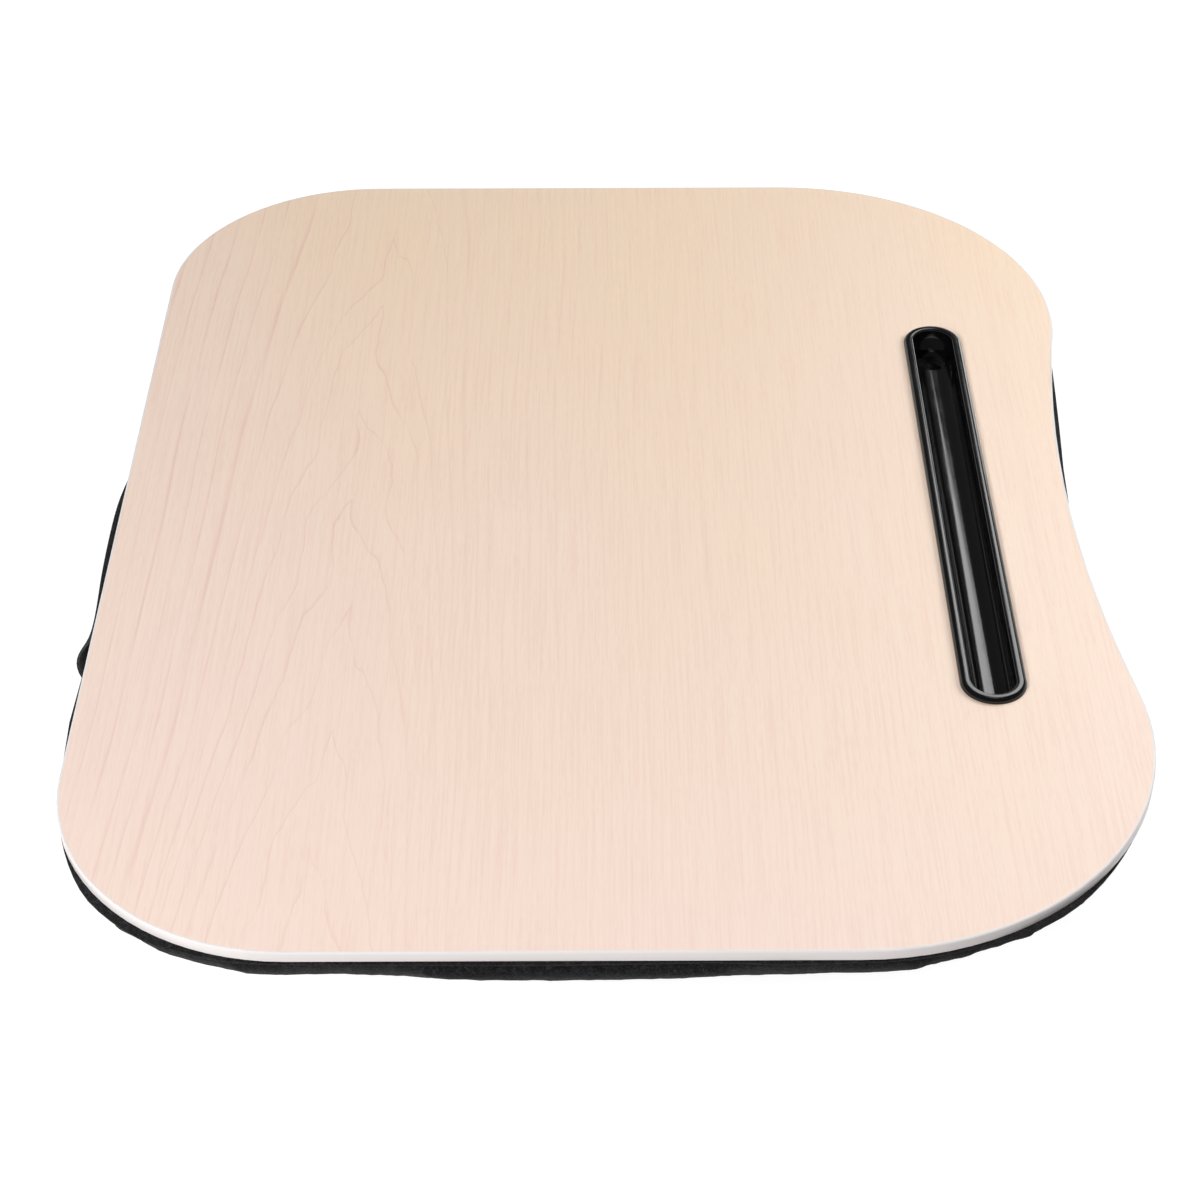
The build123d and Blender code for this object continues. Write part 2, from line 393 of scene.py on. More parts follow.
class Graph:
    """Adds shader nodes to a tree, one call for each node."""

    def __init__(self, tree):
        self.tree = tree
        self.tree.nodes.clear()

    def add(self, kind, sockets=(), **settings):
        """Add a node with these settings, and set or link its input sockets."""
        node = self.tree.nodes.new(kind)
        for key, value in settings.items():
            setattr(node, key, value)
        for key, value in dict(sockets).items():
            self.feed(node.inputs[key], value)
        return node

    def feed(self, socket, value):
        """Link an output to a socket, or set the socket's own value."""
        if isinstance(value, bpy.types.NodeSocket):
            self.tree.links.new(value, socket)
        else:
            socket.default_value = value

    def calc(self, operation, *values, clamp=False):
        """Add a Math node, or a row of them that takes in three values or more."""
        while len(values) > 2:
            values = (self.calc(operation, *values[:2]), *values[2:])
        node = self.add("ShaderNodeMath", enumerate(values), operation=operation, use_clamp=clamp)
        return node.outputs[0]

    def plus(self, *values, clamp=False):
        """Add up values."""
        return self.calc("ADD", *values, clamp=clamp)

    def times(self, *values):
        """Multiply values."""
        return self.calc("MULTIPLY", *values)

    def noise(self, vector, scale, detail=2.0, roughness=0.5):
        """Add a Noise Texture and give its grey value."""
        sockets = {"Vector": vector, "Scale": scale, "Detail": detail, "Roughness": roughness}
        return self.add("ShaderNodeTexNoise", sockets).outputs[0]

    def stretch(self, vector, scale, location=(0, 0, 0)):
        """Add a Mapping node that scales and shifts a pattern."""
        sockets = {"Vector": vector, "Scale": scale, "Location": location}
        return self.add("ShaderNodeMapping", sockets).outputs[0]

    def streaks(self, vector, scale, location=(0, 0, 0), detail=2.0, roughness=0.5):
        """Add a noise with its own scale along each axis."""
        return self.noise(self.stretch(vector, scale, location), 1.0, detail, roughness)

    def split(self, vector):
        """Add a node that gives the X, Y and Z of a vector."""
        return self.add("ShaderNodeSeparateXYZ", {"Vector": vector}).outputs

    def remap(self, value, low, high, to_low=0.0, to_high=1.0, smooth=True):
        """Add a Map Range node."""
        interpolation = "SMOOTHSTEP" if smooth else "LINEAR"
        sockets = {"Value": value, "From Min": low, "From Max": high, "To Min": to_low, "To Max": to_high}
        node = self.add("ShaderNodeMapRange", sockets, interpolation_type=interpolation)
        return node.outputs[0]

    def blend(self, factor, first, second):
        """Add a colour Mix node."""
        node = self.add("ShaderNodeMix", data_type="RGBA")
        self.feed(node.inputs[0], factor)
        self.feed(node.inputs[6], first)
        self.feed(node.inputs[7], second)
        return node.outputs[2]

    def bump(self, height, distance, strength=1.0):
        """Add a Bump node."""
        sockets = {"Height": height, "Distance": distance, "Strength": strength}
        return self.add("ShaderNodeBump", sockets).outputs[0]

    def feed_all(self, inputs, **values):
        """Link or set sockets by their names, with underscores for spaces."""
        for key, value in values.items():
            self.feed(inputs[key.replace("_", " ")], value)

    def group(self, name, build, **sockets):
        """Place a node group, which is built the first time."""
        node = self.tree.nodes.new("ShaderNodeGroup")
        node.node_tree = bpy.data.node_groups.get(name) or build(name)
        self.feed_all(node.inputs, **sockets)
        return node.outputs


def new_group(name, inputs, outputs):
    """Start a node group, and give it with its graph, its inputs and its output node."""
    tree = bpy.data.node_groups.new(name, "ShaderNodeTree")
    graph = Graph(tree)
    for socket_name, kind in inputs.items():
        tree.interface.new_socket(socket_name, in_out="INPUT", socket_type=kind)
    for socket_name, kind in outputs.items():
        tree.interface.new_socket(socket_name, in_out="OUTPUT", socket_type=kind)
    given = graph.add("NodeGroupInput").outputs
    result = graph.add("NodeGroupOutput").inputs
    return tree, graph, given, result


def new_material(name):
    """Start a material with a Principled BSDF, and give it with its graph and its place in millimetres."""
    material = bpy.data.materials.new(name)
    material.use_nodes = True
    graph = Graph(material.node_tree)
    shader = graph.add("ShaderNodeBsdfPrincipled")
    output = graph.add("ShaderNodeOutputMaterial")
    graph.feed(output.inputs["Surface"], shader.outputs["BSDF"])
    place = graph.add("ShaderNodeTexCoord").outputs["Object"]
    return material, graph, shader.inputs, graph.stretch(place, (1 / MM, 1 / MM, 1 / MM))


def paint(name):
    """Give one of the scene's colours as the four values of a colour socket."""
    return (*getattr(bpy.context.scene.lap_tray_colours, name), 1.0)


def wood_grain(name):
    """Grain of flat-sawn wood along Y: nested peaks round one axis, which run out into straight lines."""
    tree, graph, given, result = new_group(
        name,
        {"Vector": VECTOR, "Axis": FLOAT, "Left flank": FLOAT, "Right flank": FLOAT, "Peak distance": FLOAT,
         "Line width": FLOAT},
        {"Lines": FLOAT, "Shade": FLOAT, "Fibres": FLOAT, "Drift": FLOAT},
    )
    vector = given["Vector"]
    distance = given["Peak distance"]
    place = graph.split(vector)
    # The peaks stand a little to the left or right of each other, and the outer lines stay straight
    offset = graph.calc("SUBTRACT", place["X"], given["Axis"])
    near_axis = graph.remap(graph.calc("ABSOLUTE", offset), 4.0, 34.0, 1.0, 0.0)
    sway = graph.streaks(vector, (0.0, 0.013, 0.0), (0.0, 4.4, 0.0), detail=1.0)
    sway = graph.times(graph.remap(sway, 0.25, 0.75, -8.0, 8.0, False), near_axis)
    bend = graph.streaks(vector, (0.004, 0.0055, 0.0), (7.0, 1.4, 0.0), detail=1.0)
    sway = graph.plus(sway, graph.remap(bend, 0.25, 0.75, -2.6, 2.6, False))
    across = graph.calc("SUBTRACT", offset, sway)
    # Each flank falls away from the axis by a power of the distance
    flanks = []
    slopes = []
    for width, way, power in ((given["Left flank"], -1.0, 3.6), (given["Right flank"], 1.0, 4.3)):
        outwards = graph.calc("MAXIMUM", graph.times(across, way), 0.0)
        flank = graph.calc("POWER", graph.calc("DIVIDE", outwards, width), power)
        flanks.append(flank)
        slopes.append(graph.times(flank, power))
    # Sharp peaks with jagged shoulders
    slant = 4.6
    run = graph.calc("ABSOLUTE", across)
    jagged = graph.streaks(vector, (0.09, 0.026, 0.0), (1.3, 2.9, 0.0), roughness=0.6)
    jagged = graph.remap(jagged, 0.3, 0.7, -9.0, 9.0, False)
    jagged = graph.times(jagged, graph.remap(run, 15.0, 50.0, 1.0, 0.4))
    level = graph.plus(place["Y"], *flanks, graph.times(run, slant), jagged)
    # Rings are even near the axis, and their distance grows with the level further out
    even_to, widening = 100.0, 205.0
    near = graph.calc("DIVIDE", graph.calc("MINIMUM", level, even_to), distance)
    beyond = graph.calc("MAXIMUM", graph.calc("SUBTRACT", level, even_to), 0.0)
    growth = graph.plus(graph.calc("DIVIDE", beyond, widening), 1.0)
    far = graph.calc("LOGARITHM", growth, math.e)
    far = graph.times(far, graph.calc("DIVIDE", widening, distance))
    rings = graph.plus(near, far)
    uneven = graph.noise(graph.add("ShaderNodeCombineXYZ", {"X": rings}).outputs[0], 1.2, 1.0)
    rings = graph.plus(rings, graph.remap(uneven, 0.25, 0.75, -0.25, 0.25, False))
    # How quickly the rings follow each other here, so that a line keeps its width
    slope = graph.calc("DIVIDE", graph.plus(*slopes), graph.plus(run, 1.0))
    slope = graph.plus(slope, slant)
    steepness = graph.calc("SQRT", graph.plus(graph.calc("POWER", slope, 2.0), 1.0))
    rate = graph.calc("DIVIDE", steepness, graph.times(distance, growth))
    since = graph.calc("FRACT", rings)
    after = graph.remap(graph.calc("DIVIDE", since, rate), given["Line width"], 0.0)
    until = graph.calc("DIVIDE", graph.calc("SUBTRACT", 1.0, since), rate)
    before = graph.remap(until, graph.times(given["Line width"], 0.4), 0.0)
    # The lines come and go, and a soft shade runs from each line to the next
    fade = graph.streaks(vector, (0.1, 0.02, 0.0), (9.0, 4.0, 0.0))
    lines = graph.calc("MAXIMUM", after, before)
    shade = graph.calc("POWER", graph.calc("SUBTRACT", 1.0, since), 3.0)
    fine = graph.streaks(vector, (0.95, 0.02, 0.0), detail=4.0, roughness=0.62)
    short = graph.streaks(vector, (2.4, 0.16, 0.0), (5.0, 1.0, 0.0))
    graph.feed_all(
        result,
        Lines=graph.times(lines, graph.remap(fade, 0.3, 0.62, 0.15, 1.0)),
        Shade=graph.times(shade, graph.remap(fade, 0.3, 0.65, 0.3, 1.0)),
        Fibres=graph.plus(graph.times(fine, 0.65), graph.times(short, 0.35)),
        Drift=graph.streaks(vector, (0.011, 0.0035, 0.0), (2.0, 5.0, 0.0)),
    )
    return tree


def felt_fibres(name):
    """Pressed fibres: matted tufts, loose fibres and lint, from millimetres down to the single fibre."""
    tree, graph, given, result = new_group(
        name,
        {"Vector": VECTOR, "Dark": COLOR, "Pale": COLOR},
        {"Color": COLOR, "Height": FLOAT, "Roughness": FLOAT},
    )
    vector = given["Vector"]
    # The fibres curl, because a noise shifts the noise that draws them out
    bent = graph.add("ShaderNodeTexNoise", {"Vector": vector, "Scale": 0.35, "Detail": 2.0}).outputs["Color"]
    shifted = {0: bent, 1: (6.0, 6.0, 6.0), 2: vector}
    curled = graph.add("ShaderNodeVectorMath", shifted, operation="MULTIPLY_ADD").outputs[0]
    along = graph.streaks(curled, (0.45, 1.8, 1.8), detail=3.0, roughness=0.65)
    over = graph.streaks(curled, (1.8, 0.45, 1.8), (4.0, 0.0, 0.0), detail=3.0, roughness=0.65)
    fibres = graph.calc("MAXIMUM", along, over)
    tufts = graph.noise(vector, 0.42, 3.0, 0.6)
    raised = graph.remap(tufts, 0.45, 0.75, 0.0, 0.35)
    raised = graph.plus(graph.remap(fibres, 0.5, 0.72), raised, clamp=True)
    ground = graph.blend(graph.times(raised, 0.5), given["Dark"], given["Pale"])
    lint = graph.times(graph.remap(graph.noise(vector, 1.9, 1.0), 0.7, 0.78), 0.55)
    graph.feed_all(
        result,
        Color=graph.blend(lint, ground, given["Pale"]),
        Height=graph.plus(graph.times(fibres, 0.6), tufts),
        Roughness=graph.remap(fibres, 0.4, 0.7, 0.92, 1.0),
    )
    return tree


def handling_marks(name):
    """Marks of use on a smooth surface: faint smudges, hair scratches along one way, and a little dust."""
    tree, graph, given, result = new_group(
        name,
        {"Vector": VECTOR, "Amount": FLOAT},
        {"Smudge": FLOAT, "Scratch": FLOAT, "Dust": FLOAT},
    )
    vector = given["Vector"]
    specks = graph.add("ShaderNodeTexVoronoi", {"Vector": vector, "Scale": 0.3}).outputs["Distance"]
    marks = {
        "Smudge": graph.remap(graph.noise(vector, 0.055, 3.0, 0.6), 0.42, 0.7),
        "Scratch": graph.remap(graph.streaks(vector, (4.0, 0.09, 4.0)), 0.66, 0.72),
        "Dust": graph.remap(specks, 0.05, 0.02),
    }
    for mark, strength in marks.items():
        graph.feed(result[mark], graph.times(strength, given["Amount"]))
    return tree


def wood_print():
    """Printed wood under a fine satin overlay."""
    material, graph, shader, millimetres = new_material("Wood print")
    flat = graph.stretch(millimetres, (1.0, 1.0, 0.0))
    wood = graph.group("Wood grain", wood_grain, Vector=flat, Axis=-88.0, Left_flank=10.4, Right_flank=10.6,
                       Peak_distance=58.0, Line_width=1.0)
    place = graph.split(flat)
    # The print is creamier towards the far end, apart from its left side
    far = graph.remap(place["Y"], -230.0, 230.0, 0.0, 1.0, False)
    left = graph.remap(place["X"], -160.0, -40.0, -0.3, 0.0)
    warmth = graph.plus(far, left, graph.remap(wood["Drift"], 0.3, 0.7, -0.2, 0.2, False), clamp=True)
    ground = graph.blend(warmth, paint("wood_pink"), paint("wood_cream"))
    # The lines fade out to the right of the peaks, and a little towards the near end
    beside_peaks = graph.remap(place["X"], -92.0, -48.0, 0.37, 0.15)
    right = graph.remap(place["X"], -40.0, 60.0, 1.0, 0.5)
    strength = graph.times(beside_peaks, right, graph.remap(place["Y"], -200.0, 60.0, 0.7, 1.0))
    lines = graph.times(wood["Lines"], strength)
    lines = graph.plus(lines, graph.times(wood["Shade"], strength, 0.2), clamp=True)
    for share in (lines, graph.remap(wood["Fibres"], 0.42, 0.66, 0.0, 0.2)):
        ground = graph.blend(share, ground, paint("wood_grain"))
    # A few dark specks
    spots = graph.add("ShaderNodeTexVoronoi", {"Vector": flat, "Scale": 0.016}).outputs
    chosen = graph.remap(graph.split(spots["Color"])["X"], 0.6, 0.62)
    speck = graph.times(graph.remap(spots["Distance"], 0.0085, 0.004), chosen, 0.75)
    graph.feed_all(
        shader,
        Base_Color=graph.blend(speck, ground, (0.08, 0.06, 0.05, 1)),
        Roughness=graph.remap(wood["Fibres"], 0.3, 0.7, 0.36, 0.46),
        Normal=graph.bump(wood["Fibres"], 0.03 * MM, 0.6),
    )
    return material


def fibreboard():
    """Bare fibreboard, brown with fine chips."""
    material, graph, shader, millimetres = new_material("Fibreboard")
    chips = graph.streaks(millimetres, (0.9, 0.9, 3.0), detail=4.0, roughness=0.65)
    brown = graph.blend(chips, (0.16, 0.09, 0.045, 1), (0.42, 0.28, 0.17, 1))
    graph.feed_all(shader, Base_Color=brown, Roughness=0.85, Normal=graph.bump(chips, 0.1 * MM))
    return material


def backing_paper():
    """Resin-soaked paper, off-white with a faint mottle."""
    material, graph, shader, millimetres = new_material("Backing paper")
    mottle = graph.noise(millimetres, 0.15, 4.0, 0.6)
    paper = graph.blend(mottle, (0.62, 0.58, 0.5, 1), (0.78, 0.75, 0.69, 1))
    graph.feed_all(shader, Base_Color=paper, Roughness=0.6)
    return material


def white_edging():
    """White edging with a soft gloss, faint smudges, specks of dust and a little grime."""
    material, graph, shader, millimetres = new_material("White edging")
    marks = graph.group("Handling marks", handling_marks, Vector=millimetres, Amount=1.0)
    grime = graph.remap(graph.noise(millimetres, 0.02, 3.0, 0.6), 0.5, 0.8, 0.0, 0.12)
    ground = graph.blend(grime, paint("band"), (0.62, 0.58, 0.55, 1))
    dust = graph.times(marks["Dust"], 0.12)
    wave = graph.streaks(millimetres, (0.08, 0.08, 0.5))
    graph.feed_all(
        shader,
        Base_Color=graph.blend(dust, ground, (0.3, 0.28, 0.26, 1)),
        Roughness=graph.plus(graph.times(marks["Smudge"], 0.12), 0.3),
        Normal=graph.bump(wave, 0.06 * MM, 0.5),
    )
    return material


def gloss_plastic():
    """Black moulded plastic with a polished surface, smudged and finely scratched."""
    material, graph, shader, millimetres = new_material("Gloss plastic")
    marks = graph.group("Handling marks", handling_marks, Vector=millimetres, Amount=1.0)
    dust = graph.times(marks["Dust"], 0.2)
    smudge = graph.times(marks["Smudge"], 0.06)
    scratch = graph.times(marks["Scratch"], 0.08)
    wave = graph.streaks(millimetres, (0.25, 0.05, 0.25))
    graph.feed_all(
        shader,
        Base_Color=graph.blend(dust, paint("plastic"), (0.12, 0.12, 0.12, 1)),
        Roughness=graph.plus(smudge, scratch, 0.12),
        Normal=graph.bump(wave, 0.02 * MM, 0.4),
    )
    return material


def felt_cloth(name, shift=(0, 0, 0)):
    """Black felt: matted, dull and fluffy."""
    material, graph, shader, millimetres = new_material(name)
    shifted = graph.stretch(millimetres, (1.0, 1.0, 1.0), shift)
    dark, pale = paint("felt"), paint("felt_fluff")
    felt = graph.group("Felt fibres", felt_fibres, Vector=shifted, Dark=dark, Pale=pale)
    graph.feed_all(
        shader,
        Base_Color=felt["Color"],
        Roughness=felt["Roughness"],
        Specular_IOR_Level=0.15,
        Sheen_Weight=0.08,
        Sheen_Roughness=0.6,
        Normal=graph.bump(felt["Height"], 0.45 * MM, 0.9),
    )
    return material


def thread():
    """Black sewing thread with its twist."""
    material, graph, shader, millimetres = new_material("Thread")
    twist = graph.streaks(millimetres, (3.0, 3.0, 5.0))
    black = graph.blend(twist, (0.004, 0.004, 0.005, 1), (0.014, 0.014, 0.015, 1))
    bump = graph.bump(twist, 0.1 * MM)
    graph.feed_all(shader, Base_Color=black, Roughness=0.8, Specular_IOR_Level=0.2, Normal=bump)
    return material


def studio_floor(glow):
    """Floor that keeps the shadow, lifted to white where it is seen straight or in a reflection."""
    material, graph, shader, millimetres = new_material("Studio floor")
    faint = graph.remap(graph.noise(millimetres, 0.003), 0.4, 0.6, 0.0, 0.03)
    path = graph.add("ShaderNodeLightPath").outputs
    rays = [path[kind] for kind in ("Is Camera Ray", "Is Glossy Ray", "Is Transmission Ray")]
    graph.feed_all(
        shader,
        Base_Color=graph.blend(faint, paint("floor"), (0.2, 0.2, 0.2, 1)),
        Roughness=0.9,
        Specular_IOR_Level=0.0,
        Emission_Color=(1, 1, 1, 1),
        Emission_Strength=graph.times(graph.plus(*rays, clamp=True), glow),
    )
    return material


class LAPTRAY_OT_board(bpy.types.Operator):
    """Finish the board: the wood print, the fibreboard core and the backing"""

    bl_idname = "laptray.board"
    bl_label = "Board"

    def execute(self, context):
        finishes = {
            "top_laminate": wood_print(),
            "board_core": fibreboard(),
            "backing_sheet": backing_paper(),
        }
        for node, material in finishes.items():
            mesh = frame["nodes"][node].data
            mesh.materials.clear()
            mesh.materials.append(material)
        return {"FINISHED"}


class LAPTRAY_OT_edge_band(bpy.types.Operator):
    """Make the white edging with softened corners"""

    bl_idname = "laptray.edge_band"
    bl_label = "Edging"

    def execute(self, context):
        band = copy_node("edge_band", "white_edging")
        edit_all(band, bpy.ops.mesh.dissolve_limited, angle_limit=FLAT)
        soften(band, context.scene.lap_tray_edging.rounding, 30)
        finish_piece(band, white_edging(), "white_band", "edge_band", smooth=50)
        return {"FINISHED"}


def add_well(tray, sizes, centre, floor_z):
    """Sink the finger well into the trough's floor, with its own wall below."""
    well_floor = floor_z - sizes.well_depth
    well_under = well_floor - sizes.wall
    outside = sizes.well_radius + sizes.wall
    bevel = BEVEL_SHARE * sizes.well_rounding
    inside_floor = floor_z - sizes.wall / 2
    cup = [(0, well_under), (outside - bevel, well_under), (outside, well_under + bevel)]
    cup += [(outside, inside_floor), (0, inside_floor)]
    cut_with(tray, turned_body("cup", centre, cup, sizes.turn_steps), "UNION")
    corner = (sizes.well_radius - sizes.well_rounding, well_floor + sizes.well_rounding)
    above = tray_high.z + sizes.wall
    hollow = [(0, well_floor)] + arc(corner, sizes.well_rounding, -90, 0, steps=12)
    hollow += [(sizes.well_radius, above), (0, above)]
    cut_with(tray, turned_body("hollow", centre, hollow, sizes.turn_steps), "DIFFERENCE")


def make_clips(sizes, middle, wall_radius, under_z):
    """Make the wedges that catch under the board, half of them turned to the other side."""
    catch_z = board_under - sizes.clip_play
    height = catch_z - under_z - sizes.wall
    depth = sizes.clip_reach + sizes.wall / 2
    across = wall_radius - sizes.wall / 2 + depth / 2
    taper = 0.9 * sizes.clip_reach
    clips = []
    for way, turn in ((1, 0), (-1, math.pi)):
        for number in range(sizes.clips_a_side):
            row = (number - (sizes.clips_a_side - 1) / 2) * sizes.clip_distance
            deselect_all()
            bpy.ops.mesh.primitive_cube_add(size=1, location=(0, 0, 0))
            clip = name_new("clip")
            clip.data.transform(Matrix.Diagonal((depth, sizes.clip_width, height, 1)))
            # The lower outer edge is drawn in, so that the clip slides through its slot
            move_where(clip, lambda place: place.x > 0 and place.z < 0, (-taper, 0, 0))
            shift = Vector((middle.x + way * across, middle.y + row, catch_z - height / 2))
            clip.data.transform(Matrix.Translation(shift) @ Matrix.Rotation(turn, 4, "Z"))
            clips.append(clip)
    return clips


class LAPTRAY_OT_pen_tray(bpy.types.Operator):
    """Mould the pen tray: a turned form pulled apart into a trough, with a finger well and clips"""

    bl_idname = "laptray.pen_tray"
    bl_label = "Pen tray"

    def execute(self, context):
        sizes = context.scene.lap_tray_pen_tray
        middle = Vector((tray_centre.x, tray_centre.y, 0))
        rim_radius = (tray_high.x - tray_low.x) / 2
        inner_radius = rim_radius - sizes.rim_width
        wall_radius = inner_radius + sizes.wall
        rim_top = tray_high.z
        floor_z = rim_top - sizes.trough_depth
        under_z = floor_z - sizes.wall
        shoulder = (rim_radius - sizes.outer_rounding, rim_top - sizes.outer_rounding)
        lip = (inner_radius + sizes.inner_rounding, rim_top - sizes.inner_rounding)
        bowl = (inner_radius - sizes.trough_rounding, floor_z + sizes.trough_rounding)
        bevel = BEVEL_SHARE * sizes.trough_rounding
        profile = [(0, under_z), (wall_radius - bevel, under_z), (wall_radius, under_z + bevel)]
        profile += [(wall_radius, board_top), (rim_radius, board_top)]
        profile += arc(shoulder, sizes.outer_rounding, 0, 90, steps=8)
        profile += arc(lip, sizes.inner_rounding, 90, 180, steps=5)
        profile += arc(bowl, sizes.trough_rounding, 0, -90, steps=16)
        profile += [(0, floor_z)]
        tray = turned_body("pen_tray_moulding", middle, profile, sizes.turn_steps)
        half_straight = (tray_high.y - tray_low.y) / 2 - rim_radius
        for way in (1, -1):
            move_where(tray, lambda place: (place.y - middle.y) * way > 0, (0, way * half_straight, 0))
        well = middle + Vector((0, half_straight + inner_radius - sizes.well_to_end, 0))
        add_well(tray, sizes, well, floor_z)
        tray = join(tray, *make_clips(sizes, middle, wall_radius, under_z))
        finish_piece(tray, gloss_plastic(), "black_gloss", "pen_tray", smooth=35)
        return {"FINISHED"}


def grow_to_cover(cover, sizes):
    """Grow the filling to the outside of its cover, apart from the hollow for the pen tray."""
    outside = cover.vertex_groups.new(name="outside")
    free = [vertex.index for vertex in cover.data.vertices if not is_by_tray(vertex.co, sizes.voxel)]
    outside.add(free, 1.0, "REPLACE")
    growth = cover_high.x - filling_high.x
    apply_modifier(cover, "DISPLACE", strength=growth, mid_level=0, vertex_group="outside")
    cover.vertex_groups.clear()
    for vertex in cover.data.vertices:
        vertex.co.z = min(max(vertex.co.z, FLOOR_GAP), seam_height)


def mark_loose(cover, above, below_seam):
    """Mark the cloth between a height above the floor and a distance below the seam."""
    high = seam_height - below_seam
    marked = [vertex.index for vertex in cover.data.vertices if above < vertex.co.z < high]
    cover.vertex_groups.new(name="loose").add(marked, 1.0, "REPLACE")


def inflate(cover, sizes):
    """Blow the cover up like a cushion, held where it is glued, and keep each point near its start."""
    start = [vertex.co.copy() for vertex in cover.data.vertices]
    glued = cover.vertex_groups.new(name="glued")
    seam = seam_height - HELD_SEAM
    held = [i for i, place in enumerate(start) if place.z > seam or is_by_tray(place, sizes.voxel)]
    glued.add(held, 1.0, "REPLACE")
    settings = cover.modifiers.new("Cloth", "CLOTH").settings
    settings.quality = 5
    settings.mass = 0.3
    settings.tension_stiffness = 25
    settings.compression_stiffness = 25
    settings.shear_stiffness = 10
    settings.bending_stiffness = 1.5
    settings.use_pressure = True
    settings.uniform_pressure_force = sizes.pressure
    settings.vertex_group_mass = "glued"
    settings.effector_weights.gravity = 0
    scene = bpy.context.scene
    for step in range(1, FRAMES + 1):
        scene.frame_set(step)
    make_active(cover)
    bpy.ops.object.modifier_apply(modifier="Cloth")
    for vertex, place in zip(cover.data.vertices, start):
        moved = vertex.co - place
        if moved.length > sizes.most_swell:
            moved *= sizes.most_swell / moved.length
        vertex.co = place + moved
        vertex.co.z = max(vertex.co.z, FLOOR_GAP)
    scene.frame_set(1)
    cover.vertex_groups.clear()


def is_by_tray(place, reach):
    """Tell whether a point lies in the hollow for the pen tray."""
    across = tray_low.x - reach < place.x < tray_high.x + reach
    return across and tray_low.y - reach < place.y < tray_high.y + reach and place.z > seam_height / 2


def raise_lumps(cover, sizes):
    """Raise the lumps and tufts of matted felt, away from the seam and from the flat underside."""
    mark_loose(cover, above=1 * MM, below_seam=2 * MM)
    for width in (sizes.lump_width, sizes.tuft_width):
        lumps = bpy.data.textures.new("lumps", "CLOUDS")
        lumps.noise_scale = width
        apply_modifier(cover, "DISPLACE", texture=lumps, strength=sizes.lump_height, mid_level=0.5,
                       vertex_group="loose")
    cover.vertex_groups.clear()


def swell(cover):
    """Push the side out where the filling has settled, most at the seam."""
    for vertex in cover.data.vertices:
        place = vertex.co
        turn = math.degrees(math.atan2(place.y, place.x))
        rise = min(max(place.z / seam_height, 0), 1)
        # The swell is gone a sixth of the way in from the side
        side = min(max(1 - 6 * (1 - place.xy.length / side_reach(turn)), 0), 1)
        outwards = Vector((place.x, place.y, 0)).normalized()
        vertex.co += outwards * (swell_at(turn) * rise * rise * side)


def swell_at(turn):
    """Give how far the side stands out in a direction, with a soft passage from place to place."""
    before, after = next(pair for pair in zip(SETTLED, SETTLED[1:]) if turn <= pair[1][0])
    share = (turn - before[0]) / (after[0] - before[0])
    share = share * share * (3 - 2 * share)
    return (before[1] + (after[1] - before[1]) * share) * MM


def side_reach(turn):
    """Give the distance from the middle to the side in a direction."""
    direction = math.radians(turn)
    across = cover_high.x / max(abs(math.cos(direction)), 0.01)
    along = cover_high.y / max(abs(math.sin(direction)), 0.01)
    return min(across, along, CORNER_REACH)


class LAPTRAY_OT_cushion(bpy.types.Operator):
    """Inflate the felt cover, and sew it to the panel that is glued to the board"""

    bl_idname = "laptray.cushion"
    bl_label = "Cushion"

    def execute(self, context):
        sizes = context.scene.lap_tray_cushion
        cover = copy_node("cushion_filling", "cushion_cover")
        grow_to_cover(cover, sizes)
        apply_modifier(cover, "REMESH", mode="VOXEL", voxel_size=sizes.voxel)
        apply_modifier(cover, "SMOOTH", factor=0.5, iterations=1)
        inflate(cover, sizes)
        mark_loose(cover, above=2 * MM, below_seam=1.5 * MM)
        apply_modifier(cover, "SMOOTH", factor=0.5, iterations=SMOOTHING, vertex_group="loose")
        cover.vertex_groups.clear()
        apply_modifier(cover, "SUBSURF", levels=1, render_levels=1)
        raise_lumps(cover, sizes)
        panel = copy_node("cover_top_panel", "glued_panel")
        edit_all(panel, bpy.ops.mesh.dissolve_limited, angle_limit=FLAT)
        soften(panel, sizes.panel_rounding, 40)
        join(cover, panel)
        swell(cover)
        felt = felt_cloth("Black felt")
        finish_piece(cover, felt, "black_felt", "cover_under_panel", "cover_top_panel", "cushion_filling")
        return {"FINISHED"}


def panel_outline():
    """Read the glued panel's outline from the frame, in order round the tray."""
    places = {}
    for vertex in frame["nodes"]["cover_top_panel"].data.vertices:
        place = vertex.co.copy()
        turn = round(math.atan2(place.y, place.x), 4)
        if turn not in places or place.xy.length > places[turn].xy.length:
            places[turn] = place
    far = [places[turn] for turn in sorted(places)]
    # The edge of the slot for the pen tray is left out
    slot_margin = Vector((6 * MM, 10 * MM, 0))
    slot = tray_high + slot_margin
    return [place for place in far if abs(place.x) > slot.x or abs(place.y) > slot.y]


def step_round(outline, pitch):
    """Step round an outline, and give each place with the direction there."""
    spare = 0.0
    for here, there in zip(outline, outline[1:] + outline[:1]):
        run = there - here
        run.z = 0
        along = run.normalized()
        while spare < run.length:
            yield here + along * spare, along
            spare += pitch
        spare -= run.length


def lay_stitch(sizes, hit, normal, along):
    """Lay one stitch on the cloth, sunk in by about a third of its thickness."""
    deselect_all()
    bpy.ops.mesh.primitive_uv_sphere_add(segments=6, ring_count=5, radius=0.5)
    piece = name_new("stitch")
    side = normal.cross(along).normalized()
    along = side.cross(normal).normalized()
    thick = sizes.stitch_thickness
    shape = Matrix.Diagonal((sizes.stitch_length, thick, thick, 1))
    turn = Matrix((along, side, normal)).transposed().to_4x4()
    raised = 0.15 * thick
    piece.data.transform(Matrix.Translation(hit + normal * raised) @ turn @ shape)
    return piece


